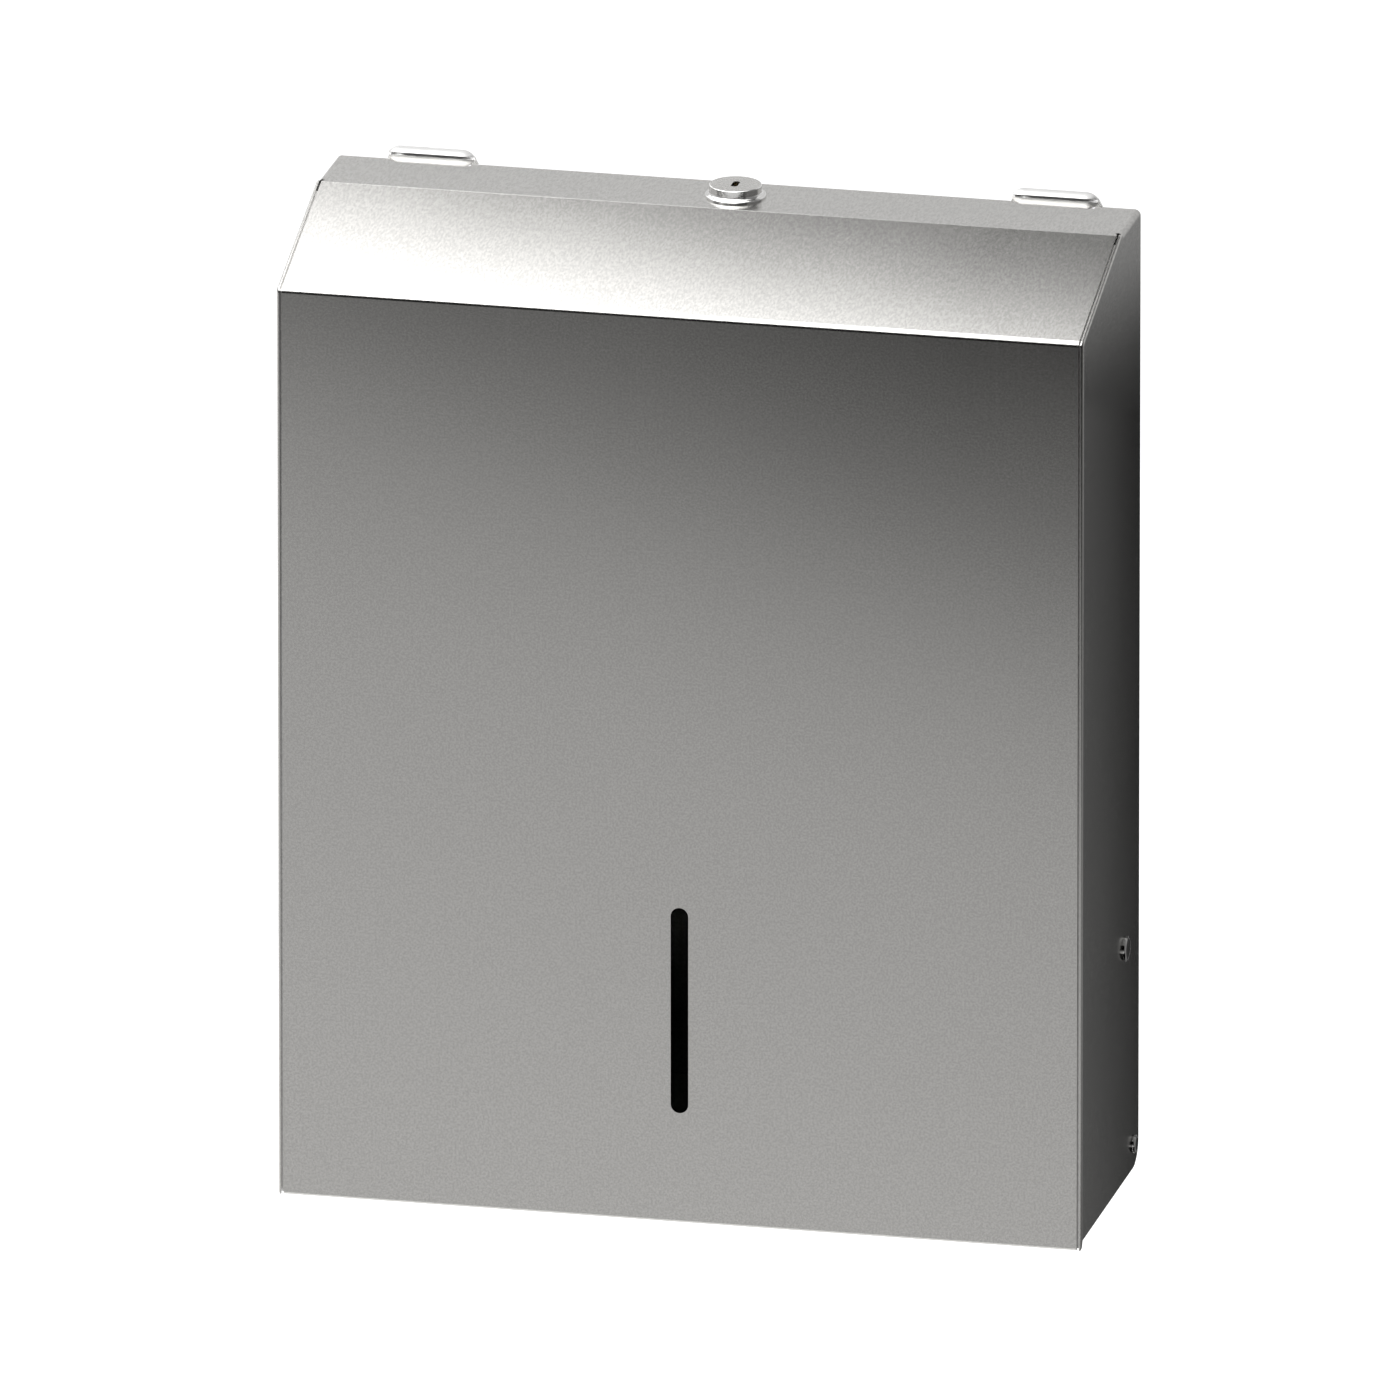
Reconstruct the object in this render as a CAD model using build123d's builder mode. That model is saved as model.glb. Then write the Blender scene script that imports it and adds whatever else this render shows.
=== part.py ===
from build123d import *
import os
from math import acos, asin, cos, degrees, radians, sin, sqrt

# Paper towel dispenser for a wall: a folded steel cover swings forward and down on a wall frame.
# Millimetres. X to the right, Y towards the wall, Z up. The wall is the plane Y = 0, and the origin
# is the middle of the four wall screws.

# Cover, outside sizes and sheet
cover_width = 275.0
cover_height = 337.0
cover_depth = 88.5
top_depth = 30.0
slope_drop = 19.5
cover_sheet = 1.0
inside_bend = 1.0
wall_gap = 0.5
seam_gap = 0.75
side_foot_rise = 3.3
side_toe = 1.6
side_round_share = 0.8
relief_diameter = 2.0
hem_height = 10.0
hem_end_gap = 1.0
hem_round_share = 0.8

# Viewing slot in the front
slot_width = 6.0
slot_length = 72.0
slot_rise = 38.5

# Angles behind the corner seams
angle_leg = 12.0
angle_sheet = 1.0
angle_end_gap = 4.0
angle_foot_gap = 0.7

# Hinge pins, their washers and rings
hinge_inset = 8.5
pin_diameter = 4.0
hinge_head_diameter = 6.2
hinge_head_height = 1.2
hinge_head_gap = 0.1
hinge_washer_diameter = 11.0
hinge_washer_play = 0.2
ring_diameter = 8.0
ring_thickness = 1.0
pin_tail = 0.8
head_round_share = 0.75

# Stop pins that run in the cheeks' slots
stop_share = 0.8445
stop_angle = 10.9
cover_opening = 50.0
stop_head_diameter = 8.6
stop_head_height = 1.3
stop_bush_diameter = 8.0
stop_washer_diameter = 11.0
stop_washer_thickness = 1.0
stop_side_play = 0.3
stop_slot_width = 5.0
stop_end_play = 0.4

# Wall frame: back plate, cheeks and tray
side_gap = 2.2
plate_sheet = 1.0
plate_flange = 12.0
plate_top_flange = 9.0
plate_top_gap = 2.5
plate_bottom_gap = 3.0
plate_round_share = 0.8
flange_foot_gap = 12.0
screw_spacing_x = 180.0
screw_spacing_z = 220.0
screw_hole_diameter = 6.0
cheek_sheet = 1.2
cheek_rim = 5.5
cheek_front_gap = 3.0
cheek_foot_gap = 2.0
cheek_corner = 3.0
cheek_rivet_inset = 6.0
cheek_rivet_foot = 24.0
cheek_rivet_spacing = 40.0
tray_sheet = 1.0
tray_front_gap = 5.0
tray_floor_gap = 1.0
tray_front_lip = 15.0
tray_side_lip = 13.0
tray_rear_lip = 16.0
tray_lip_gap = 3.0
tray_corner_gap = 0.5
outlet_width = 196.0
outlet_depth = 44.0
outlet_corner = 14.0
outlet_lip = 2.0
outlet_round = 0.8
tray_rivet_spacing = 34.0
rivet_diameter = 3.2
rivet_head_diameter = 6.0
rivet_head_height = 1.0
rivet_head_taper = 30.0

# The lock and the lugs sit a little to the right of the cover's middle
top_offset = 2.5

# Rolled lugs at the rear of the top
lug_share = 0.7755
lug_length = 29.5
lug_diameter = 5.7
lug_sheet = 0.9
lug_taper = 4.2
lug_end_diameter = 1.4
lug_slit = 0.9
lug_slit_rise = 18.5
lug_seat_gap = 0.15
lug_wall_gap = 1.1
lug_neck_width = 24.0
lug_shoulder_width = 31.5
lug_shoulder_height = 3.0
lug_shoulder_slant = 62.0
lug_weld_height = 18.0
notch_gap = 1.0

# Lock in the top strip
lock_flange_diameter = 20.6
lock_flange_height = 1.0
lock_head_diameter = 17.6
lock_head_height = 3.2
lock_head_round = 0.3
lock_flare = 1.0
lock_rim_round = 0.6
lock_cap = 2.2
lock_body_diameter = 16.0
lock_body_length = 14.0
lock_hole_gap = 0.2
keyhole_width = 2.3
keyhole_length = 5.8
plug_diameter = 9.0
plug_top_gap = 0.2
key_socket_depth = 7.0
tail_square = 6.0
lock_nut_width = 20.0
lock_nut_height = 4.0
lock_washer_diameter = 22.0
lock_washer_thickness = 0.8
cam_washer_diameter = 14.0
cam_washer_thickness = 1.8
cam_reach = 13.5
cam_width = 10.0
cam_thickness = 2.0
cam_gap = 0.1
cam_screw_diameter = 3.0
cam_screw_length = 8.0
cam_screw_head_diameter = 7.0
cam_screw_head_height = 2.2
cam_slot_width = 1.0
cam_slot_depth = 1.0
cam_tip_round = 2.0
screw_end_gap = 0.5

# Strike on the back plate
strike_sheet = 1.5
strike_bend = 1.0
strike_width = 11.0
strike_side_gap = 1.0
strike_cam_gap = 1.0
strike_arm_gap = 1.5
strike_lip = 6.0
strike_weld_height = 20.0

# Fits
running_clearance = 0.05
seat_clearance = 0.02
overrun = 1.0

# Places that follow from the sizes above
quarter_turn = 90.0
half_width = cover_width / 2
top_z = cover_height / 2
bottom_z = -cover_height / 2
side_foot_z = bottom_z + side_foot_rise
rear_y = -wall_gap
front_y = rear_y - cover_depth
bend_y = rear_y - top_depth
shoulder_z = top_z - slope_drop
outer_bend = inside_bend + cover_sheet
side_inner_x = half_width - cover_sheet
panel_half = side_inner_x - seam_gap
inner_top_z = top_z - cover_sheet
cheek_outer_x = side_inner_x - side_gap
cheek_inner_x = cheek_outer_x - cheek_sheet

pin_radius = pin_diameter / 2
hinge_y = rear_y - hinge_inset
hinge_z = side_foot_z + hinge_inset
stop_radius = stop_share * cover_depth
stop_y = hinge_y - stop_radius * sin(radians(stop_angle))
stop_z = hinge_z + stop_radius * cos(radians(stop_angle))

plate_front_y = -plate_sheet
plate_top_z = inner_top_z - plate_top_gap
plate_bottom_z = side_foot_z + plate_bottom_gap
flange_foot_z = hinge_z + flange_foot_gap

angle_front_y = front_y + cover_sheet + angle_sheet
cheek_front_y = angle_front_y + cheek_front_gap
cheek_reach = hinge_y - cheek_front_y
cheek_radius = stop_radius + stop_slot_width / 2 + cheek_rim
cheek_bottom_z = side_foot_z + cheek_foot_gap
tray_front_y = angle_front_y + tray_front_gap
floor_top_z = hinge_z - ring_diameter / 2 - tray_floor_gap
floor_low_z = floor_top_z - tray_sheet
side_lip_rear_y = hinge_y - ring_diameter / 2 - tray_lip_gap

lug_x = lug_share * half_width
lug_radius = lug_diameter / 2
lug_y = -lug_wall_gap - lug_radius
lug_z = top_z + lug_seat_gap + lug_radius
tab_front_y = plate_front_y - lug_sheet
notch_front_y = tab_front_y - notch_gap

lock_y = rear_y - top_depth / 2
lock_low_z = top_z - lock_body_length
cam_top_z = lock_low_z - cam_gap - cam_washer_thickness
cam_low_z = cam_top_z - cam_thickness
nut_top_z = inner_top_z - lock_washer_thickness
nut_corner = lock_nut_width / sqrt(3)

cheek_rivet_y = rear_y - cheek_rivet_inset
cheek_rivet_z = hinge_z + cheek_rivet_foot
cheek_rivets_at = ((cheek_rivet_y, cheek_rivet_z), (cheek_rivet_y, cheek_rivet_z + cheek_rivet_spacing))
tray_rivet_y = (side_lip_rear_y + tray_front_y) / 2
tray_rivet_z = floor_top_z + tray_side_lip / 2
tray_rivets_at = (
    (tray_rivet_y - tray_rivet_spacing / 2, tray_rivet_z),
    (tray_rivet_y + tray_rivet_spacing / 2, tray_rivet_z),
)

os.makedirs("parts", exist_ok=True)
hands = (("left", -1), ("right", 1))


def pin_plane(hand, y, z):
    """Plane along a crosswise pin: its x runs outward on the pin's axis and its y runs up."""
    return Plane((0, y, z), x_dir=(hand, 0, 0), z_dir=(0, -hand, 0))


def pin_axis(y, z):
    """Axis of a crosswise pin."""
    return Axis((0, y, z), (1, 0, 0))


# Back plate: flat on the wall, folded forward at the sides above the hinge and along the top
with BuildPart() as back_plate:
    with BuildSketch(Plane.XZ):
        with Locations((0, (plate_top_z + plate_bottom_z) / 2)):
            Rectangle(2 * cheek_inner_x, plate_top_z - plate_bottom_z)
        with GridLocations(screw_spacing_x, screw_spacing_z, 2, 2):
            Circle(screw_hole_diameter / 2, mode=Mode.SUBTRACT)
    extrude(amount=plate_sheet)
    with BuildSketch(Plane.XZ.offset(plate_sheet)):
        flange_x = cheek_inner_x - plate_sheet / 2
        flange_z = (plate_top_z + flange_foot_z) / 2
        with Locations((-flange_x, flange_z), (flange_x, flange_z)):
            Rectangle(plate_sheet, plate_top_z - flange_foot_z)
    extrude(amount=plate_flange - plate_sheet)
    with BuildSketch(Plane.XZ.offset(plate_sheet)):
        stretch_start_x = nut_corner + notch_gap
        stretch_end_x = lug_x - lug_neck_width / 2 - notch_gap
        stretch_x = (stretch_start_x + stretch_end_x) / 2
        stretch_z = plate_top_z - plate_sheet / 2
        with Locations((top_offset - stretch_x, stretch_z), (top_offset + stretch_x, stretch_z)):
            Rectangle(stretch_end_x - stretch_start_x, plate_sheet)
    extrude(amount=plate_top_flange - plate_sheet)
    with BuildSketch(Plane.YZ.offset(-cheek_inner_x)):
        with Locations(*cheek_rivets_at):
            Circle(rivet_diameter / 2 + seat_clearance)
    extrude(amount=2 * cheek_inner_x, mode=Mode.SUBTRACT)
    wall_face = back_plate.faces().sort_by(Axis.Y)[-1]
    fillet(wall_face.outer_wire().edges(), radius=plate_round_share * plate_sheet)
back_plate.part.label = "back_plate"
export_step(back_plate.part, "parts/back_plate.step")

# Cheeks: quadrant plates beside the tray, with the hinge hole and the stop pin's curved slot
for side, hand in hands:
    with BuildPart() as cheek:
        with BuildSketch(Plane.YZ.offset(hand * cheek_inner_x)) as outline:
            rear_angle = degrees(acos((rear_y - hinge_y) / cheek_radius))
            front_angle = quarter_turn + degrees(asin(cheek_reach / cheek_radius))
            with BuildLine():
                rim = CenterArc((hinge_y, hinge_z), cheek_radius, rear_angle, front_angle - rear_angle)
                Polyline(rim @ 1, (cheek_front_y, cheek_bottom_z), (rear_y, cheek_bottom_z), rim @ 0)
            make_face()
            fillet(outline.vertices(), radius=cheek_corner)
            with Locations((hinge_y, hinge_z)):
                Circle(pin_radius + seat_clearance, mode=Mode.SUBTRACT)
            with Locations(*cheek_rivets_at, *tray_rivets_at):
                Circle(rivet_diameter / 2 + seat_clearance, mode=Mode.SUBTRACT)
            end_play = degrees(stop_end_play / stop_radius)
            slot_start = quarter_turn + stop_angle - end_play
            slot_sweep = cover_opening + 2 * end_play
            slot_path = Edge.make_circle(
                stop_radius,
                Plane((hinge_y, hinge_z)),
                start_angle=slot_start,
                end_angle=slot_start + slot_sweep,
            )
            SlotArc(slot_path, stop_slot_width, mode=Mode.SUBTRACT)
        extrude(amount=hand * cheek_sheet)
    cheek.part.label = f"{side}_cheek"
    export_step(cheek.part, f"parts/{side}_cheek.step")

# Towel tray: floor with a lipped outlet and upturned front, rear and side lips
with BuildPart() as towel_tray:
    tray_depth = plate_front_y - tray_front_y
    tray_mid_y = (plate_front_y + tray_front_y) / 2
    with BuildSketch(Plane.XY.offset(floor_low_z)):
        with Locations((0, tray_mid_y)):
            Rectangle(2 * cheek_inner_x, tray_depth)
    extrude(amount=tray_sheet)
    with BuildSketch(Plane.XY.offset(floor_top_z)):
        with Locations((0, tray_front_y + tray_sheet / 2)):
            Rectangle(2 * cheek_inner_x, tray_sheet)
    extrude(amount=tray_front_lip)
    with BuildSketch(Plane.XY.offset(floor_top_z)):
        rear_lip_half = cheek_inner_x - ring_thickness - pin_tail - tray_lip_gap
        with Locations((0, plate_front_y - tray_sheet / 2)):
            Rectangle(2 * rear_lip_half, tray_sheet)
    extrude(amount=tray_rear_lip)
    with BuildSketch(Plane.XY.offset(floor_top_z)):
        side_lip_front_y = tray_front_y + tray_sheet + tray_corner_gap
        side_lip_x = cheek_inner_x - tray_sheet / 2
        side_lip_y = (side_lip_rear_y + side_lip_front_y) / 2
        with Locations((-side_lip_x, side_lip_y), (side_lip_x, side_lip_y)):
            Rectangle(tray_sheet, side_lip_rear_y - side_lip_front_y)
    extrude(amount=tray_side_lip)
    with BuildSketch(Plane.XY.offset(floor_low_z)):
        with Locations((0, tray_mid_y)):
            RectangleRounded(
                outlet_width + 2 * tray_sheet, outlet_depth + 2 * tray_sheet, outlet_corner + tray_sheet
            )
    extrude(amount=-outlet_lip)
    with BuildSketch(Plane.XY.offset(floor_top_z)):
        with Locations((0, tray_mid_y)):
            RectangleRounded(outlet_width, outlet_depth, outlet_corner)
    extrude(amount=-(tray_sheet + outlet_lip), mode=Mode.SUBTRACT)
    with BuildSketch(Plane.YZ.offset(-cheek_inner_x)):
        with Locations(*tray_rivets_at):
            Circle(rivet_diameter / 2 + seat_clearance)
    extrude(amount=2 * cheek_inner_x, mode=Mode.SUBTRACT)
    outlet_edges = (
        towel_tray.edges()
        .filter_by_position(Axis.Z, floor_top_z, floor_top_z)
        .filter_by_position(Axis.X, -outlet_width / 2, outlet_width / 2)
        .filter_by_position(Axis.Y, tray_mid_y - outlet_depth / 2, tray_mid_y + outlet_depth / 2)
    )
    fillet(outlet_edges, radius=outlet_round)
towel_tray.part.label = "towel_tray"
export_step(towel_tray.part, "parts/towel_tray.step")


def rivet_row(places, inner_x, outer_x):
    """Add rivets with tapered heads, on both sides, through what lies between two distances out."""
    for hand in (-1, 1):
        with BuildSketch(Plane.YZ.offset(hand * inner_x)) as shanks:
            with Locations(*places):
                Circle(rivet_diameter / 2)
        extrude(shanks.sketch, amount=hand * (outer_x - inner_x))
        for face_x, way in ((inner_x, -hand), (outer_x, hand)):
            with BuildSketch(Plane.YZ.offset(hand * face_x)) as heads:
                with Locations(*places):
                    Circle(rivet_head_diameter / 2)
            extrude(heads.sketch, amount=way * rivet_head_height, taper=rivet_head_taper)


# Rivets: cheeks to the back plate's flanges, and tray to the cheeks
with BuildPart() as cheek_rivets:
    rivet_row(cheek_rivets_at, cheek_inner_x - plate_sheet, cheek_outer_x)
cheek_rivets.part.label = "cheek_rivets"
export_step(cheek_rivets.part, "parts/cheek_rivets.step")

with BuildPart() as tray_rivets:
    rivet_row(tray_rivets_at, cheek_inner_x - tray_sheet, cheek_outer_x)
tray_rivets.part.label = "tray_rivets"
export_step(tray_rivets.part, "parts/tray_rivets.step")

# Lock strike: a bent bracket on the back plate, with a lip in front of the locked cam
with BuildPart() as lock_strike:
    arm_top_z = cam_low_z - strike_arm_gap
    lip_rear_y = lock_y - cam_width / 2 - strike_cam_gap
    strike_inner_x = lock_body_diameter / 2 + strike_side_gap
    with BuildSketch(Plane.YZ.offset(top_offset + strike_inner_x)):
        with BuildLine():
            FilletPolyline(
                (plate_front_y, arm_top_z - strike_weld_height),
                (plate_front_y, arm_top_z),
                (lip_rear_y, arm_top_z),
                (lip_rear_y, arm_top_z + strike_lip),
                radius=strike_bend,
            )
            offset(amount=strike_sheet, side=Side.LEFT)
        make_face()
    extrude(amount=strike_width)
lock_strike.part.label = "lock_strike"
export_step(lock_strike.part, "parts/lock_strike.step")

# Rolled lugs: a tab on the back plate ends in a hollow roll with tapered ends and an open seam
for side, hand in hands:
    with BuildPart() as top_lug:
        lug_middle_x = top_offset + hand * lug_x
        roll_plane = Plane((lug_middle_x, lug_y, lug_z), x_dir=(1, 0, 0), z_dir=(0, -1, 0))
        for shrink, way in ((0, Mode.ADD), (lug_sheet, Mode.SUBTRACT)):
            with BuildSketch(roll_plane):
                end_x = lug_length / 2 - shrink
                full_x = lug_length / 2 - lug_taper
                end_y = lug_end_diameter / 2 - shrink / 2
                with BuildLine():
                    roof = Line((-full_x, lug_radius - shrink), (full_x, lug_radius - shrink))
                    right_end = TangentArc(roof @ 1, (end_x, end_y), tangent=roof % 1)
                    left_end = TangentArc(roof @ 0, (-end_x, end_y), tangent=-(roof % 0))
                    Polyline(right_end @ 1, (end_x, 0), (-end_x, 0), left_end @ 1)
                make_face()
            revolve(axis=pin_axis(lug_y, lug_z), mode=way)
        with BuildSketch(Plane.XZ.offset(-plate_front_y)):
            tab_foot_z = plate_top_z - lug_weld_height
            with Locations((lug_middle_x, (tab_foot_z + lug_z) / 2)):
                Rectangle(lug_neck_width, lug_z - tab_foot_z)
            with Locations((lug_middle_x, top_z + lug_seat_gap + lug_shoulder_height / 2)):
                Trapezoid(lug_shoulder_width, lug_shoulder_height, lug_shoulder_slant)
        extrude(amount=lug_sheet)
        slit_rise = radians(lug_slit_rise)
        with BuildSketch(
            Plane((lug_middle_x, lug_y, lug_z), x_dir=(1, 0, 0), z_dir=(0, -cos(slit_rise), sin(slit_rise)))
        ):
            Rectangle(lug_length, lug_slit)
        extrude(amount=lug_radius, mode=Mode.SUBTRACT)
    top_lug.part.label = f"{side}_top_lug"
    export_step(top_lug.part, f"parts/{side}_top_lug.step")

# Hinge pins: riveted through the cheeks, with a round head outside the cover
for side, hand in hands:
    with BuildPart() as hinge_pin:
        with BuildSketch(pin_plane(hand, hinge_y, hinge_z)):
            head_x = half_width + hinge_head_gap
            tail_x = cheek_inner_x - ring_thickness - pin_tail
            with BuildLine():
                Polyline(
                    (tail_x, 0),
                    (tail_x, pin_radius),
                    (head_x, pin_radius),
                    (head_x, hinge_head_diameter / 2),
                    (head_x + hinge_head_height, hinge_head_diameter / 2),
                    (head_x + hinge_head_height, 0),
                    close=True,
                )
            make_face()
        revolve(axis=pin_axis(hinge_y, hinge_z))
        head_rim = hinge_pin.edges().filter_by(GeomType.CIRCLE).sort_by(Axis((0, 0, 0), (hand, 0, 0)))[-1]
        fillet(head_rim, radius=head_round_share * hinge_head_height)
    hinge_pin.part.label = f"{side}_hinge_pin"
    export_step(hinge_pin.part, f"parts/{side}_hinge_pin.step")


def collar_pair(y, z, inner_x, outer_x, outside_diameter, bore_radius):
    """Add a plain ring on both sides of the part being built, from one distance out to another."""
    for hand in (-1, 1):
        with BuildSketch(Plane.YZ.offset(hand * inner_x)) as ring:
            with Locations((y, z)):
                Circle(outside_diameter / 2)
                Circle(bore_radius, mode=Mode.SUBTRACT)
        extrude(ring.sketch, amount=hand * (outer_x - inner_x))


# Hinge washers: spacers on the pins between the cheeks and the cover's sides
with BuildPart() as hinge_washers:
    washer_outer_x = side_inner_x - hinge_washer_play
    washer_bore = pin_radius + running_clearance
    collar_pair(hinge_y, hinge_z, cheek_outer_x, washer_outer_x, hinge_washer_diameter, washer_bore)
hinge_washers.part.label = "hinge_washers"
export_step(hinge_washers.part, "parts/hinge_washers.step")

# Hinge rings: pushed on the pins inside the cheeks
with BuildPart() as hinge_rings:
    ring_inner_x = cheek_inner_x - ring_thickness
    collar_pair(hinge_y, hinge_z, ring_inner_x, cheek_inner_x, ring_diameter, pin_radius + seat_clearance)
hinge_rings.part.label = "hinge_rings"
export_step(hinge_rings.part, "parts/hinge_rings.step")

# Cover shell: one folded sheet with the top strip, the slope, the front and both sides
with BuildPart() as cover_shell:
    front_corners = ((bend_y, top_z), (front_y, shoulder_z))
    strip_front_y = bend_y + outer_bend
    side_top_z = top_z - outer_bend
    with BuildSketch(Plane.YZ.offset(side_inner_x)):
        with BuildLine():
            face_edge = FilletPolyline(
                (strip_front_y, top_z), *front_corners, (front_y, bottom_z), radius=outer_bend
            )
            toe = Line(face_edge @ 1, (front_y + side_toe, side_foot_z))
            rear_edge = FilletPolyline(
                toe @ 1, (rear_y, side_foot_z), (rear_y, side_top_z), radius=hinge_inset
            )
            Polyline(rear_edge @ 1, (strip_front_y, side_top_z), face_edge @ 0)
        make_face()
        with Locations((hinge_y, hinge_z)):
            Circle(pin_radius + running_clearance, mode=Mode.SUBTRACT)
        with Locations((stop_y, stop_z)):
            Circle(pin_radius + seat_clearance, mode=Mode.SUBTRACT)
    extrude(amount=cover_sheet)
    side_edges = cover_shell.faces().sort_by(Axis.X)[-1].outer_wire().edges()
    reach = [edge for edge in side_edges if edge.center().Y < bend_y and edge.center().Z > side_foot_z]
    fillet(reach, radius=side_round_share * cover_sheet)
    mirror(about=Plane.YZ)
    with BuildSketch(Plane.XZ.offset(wall_gap)):
        fold_foot_z = side_top_z - outer_bend
        with BuildLine():
            FilletPolyline(
                (-half_width, fold_foot_z),
                (-half_width, top_z),
                (half_width, top_z),
                (half_width, fold_foot_z),
                radius=outer_bend,
            )
            offset(amount=cover_sheet, side=Side.RIGHT)
        make_face()
    extrude(amount=top_depth - outer_bend)
    with BuildSketch(Plane.YZ.offset(-panel_half)) as front_sheet:
        with BuildLine():
            FilletPolyline((rear_y, top_z), *front_corners, (front_y, bottom_z), radius=outer_bend)
            offset(amount=cover_sheet, side=Side.LEFT)
        make_face()
        foot_corner = front_sheet.vertices().group_by(Axis.Y)[0].sort_by(Axis.X)[0]
        fillet(foot_corner, radius=hem_round_share * cover_sheet)
    extrude(amount=2 * panel_half)
    with BuildSketch(Plane.XY.offset(bottom_z)):
        hem_half = side_inner_x - angle_leg - hem_end_gap
        hem_front_y = front_y + cover_sheet
        with Locations((0, hem_front_y + cover_sheet / 2)):
            Rectangle(2 * hem_half, cover_sheet)
    extrude(amount=hem_height)
    with BuildSketch(Plane.XY.offset(top_z)):
        with Locations((top_offset, lock_y)):
            Circle(lock_body_diameter / 2 + lock_hole_gap)
        with Locations((top_offset - lug_x, rear_y), (top_offset + lug_x, rear_y)):
            Rectangle(lug_neck_width + 2 * notch_gap, 2 * (rear_y - notch_front_y))
    extrude(amount=-cover_sheet, mode=Mode.SUBTRACT)
    with BuildSketch(Plane.XY.offset(top_z)):
        relief_x = side_inner_x - seam_gap / 2
        with Locations((-relief_x, strip_front_y), (relief_x, strip_front_y)):
            Circle(relief_diameter / 2)
    extrude(amount=-outer_bend, mode=Mode.SUBTRACT)
    with BuildSketch(Plane.XZ.offset(-front_y)):
        with Locations((0, bottom_z + slot_rise + slot_length / 2)):
            SlotOverall(slot_length, slot_width, rotation=quarter_turn)
    extrude(amount=-cover_sheet, mode=Mode.SUBTRACT)
cover_shell.part.label = "cover_shell"
export_step(cover_shell.part, "parts/cover_shell.step")

# Seam angles: bent strips behind the open corners between the front sheet and the sides
slope_run = cover_depth - top_depth
slope_length = sqrt(slope_run**2 + slope_drop**2)
angle_start = (
    bend_y - angle_end_gap * slope_run / slope_length,
    top_z - angle_end_gap * slope_drop / slope_length,
)
angle_inset = cover_sheet + seat_clearance
angle_legs = ((angle_sheet, angle_leg, bottom_z), (angle_leg, angle_sheet, side_foot_z))
for side, hand in hands:
    with BuildPart() as seam_angle:
        for leg_depth, leg_width, foot_z in angle_legs:
            angle_end = (front_y, foot_z + angle_foot_gap)
            with BuildSketch(Plane.YZ.offset(hand * side_inner_x)):
                for depth, way in ((angle_inset + leg_depth, Mode.ADD), (angle_inset, Mode.SUBTRACT)):
                    with BuildLine():
                        FilletPolyline(angle_start, (front_y, shoulder_z), angle_end, radius=outer_bend)
                        offset(amount=depth, side=Side.LEFT)
                    make_face(mode=way)
            extrude(amount=-hand * leg_width)
    seam_angle.part.label = f"{side}_seam_angle"
    export_step(seam_angle.part, f"parts/{side}_seam_angle.step")

# Stop pins: riveted to the cover's sides, with their shanks in the cheeks' curved slots
for side, hand in hands:
    with BuildPart() as stop_pin:
        with BuildSketch(pin_plane(hand, stop_y, stop_z)):
            tail_x = cheek_inner_x - stop_side_play - stop_washer_thickness - pin_tail
            with BuildLine():
                Polyline(
                    (tail_x, 0),
                    (tail_x, pin_radius),
                    (half_width, pin_radius),
                    (half_width, stop_head_diameter / 2),
                    (half_width + stop_head_height, stop_head_diameter / 2),
                    (half_width + stop_head_height, 0),
                    close=True,
                )
            make_face()
        revolve(axis=pin_axis(stop_y, stop_z))
        head_rim = stop_pin.edges().filter_by(GeomType.CIRCLE).sort_by(Axis((0, 0, 0), (hand, 0, 0)))[-1]
        fillet(head_rim, radius=head_round_share * stop_head_height)
    stop_pin.part.label = f"{side}_stop_pin"
    export_step(stop_pin.part, f"parts/{side}_stop_pin.step")

# Stop bushes: spacers on the stop pins between the cover's sides and the cheeks
with BuildPart() as stop_bushes:
    bush_inner_x = cheek_outer_x + stop_side_play
    collar_pair(stop_y, stop_z, bush_inner_x, side_inner_x, stop_bush_diameter, pin_radius + seat_clearance)
stop_bushes.part.label = "stop_bushes"
export_step(stop_bushes.part, "parts/stop_bushes.step")

# Stop washers: on the stop pins inside the cheeks
with BuildPart() as stop_washers:
    washer_face_x = cheek_inner_x - stop_side_play
    washer_low_x = washer_face_x - stop_washer_thickness
    washer_bore = pin_radius + seat_clearance
    collar_pair(stop_y, stop_z, washer_low_x, washer_face_x, stop_washer_diameter, washer_bore)
stop_washers.part.label = "stop_washers"
export_step(stop_washers.part, "parts/stop_washers.step")

# Lock housing: round head on a flared flange, and a body that goes down through the top strip
with BuildPart() as lock_housing:
    head_low_z = top_z + lock_flange_height
    head_top_z = head_low_z + lock_head_height
    bore_top_z = head_top_z - lock_cap
    with BuildSketch(Plane.XY.offset(top_z)):
        with Locations((top_offset, lock_y)):
            Circle(lock_flange_diameter / 2)
    extrude(amount=lock_flange_height)
    with BuildSketch(Plane.XY.offset(head_low_z)):
        with Locations((top_offset, lock_y)):
            Circle(lock_head_diameter / 2)
    extrude(amount=lock_head_height)
    with BuildSketch(Plane.XY.offset(top_z)):
        with Locations((top_offset, lock_y)):
            Circle(lock_body_diameter / 2)
    extrude(amount=-lock_body_length)
    circles = lock_housing.edges().filter_by(GeomType.CIRCLE)
    flange_circles = circles.filter_by_position(Axis.Z, head_low_z, head_low_z).sort_by(SortBy.RADIUS)
    fillet(circles.sort_by(Axis.Z)[-1], radius=lock_head_round)
    fillet(flange_circles[0], radius=lock_flare)
    fillet(flange_circles[-1], radius=lock_rim_round)
    with BuildSketch(Plane.XY.offset(lock_low_z)):
        with Locations((top_offset, lock_y)):
            Circle(plug_diameter / 2 + running_clearance)
    extrude(amount=bore_top_z - lock_low_z, mode=Mode.SUBTRACT)
    with BuildSketch(Plane.XY.offset(head_top_z)):
        with Locations((top_offset, lock_y)):
            SlotOverall(keyhole_length, keyhole_width, rotation=quarter_turn)
    extrude(amount=-lock_cap, mode=Mode.SUBTRACT)
lock_housing.part.label = "lock_housing"
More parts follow.
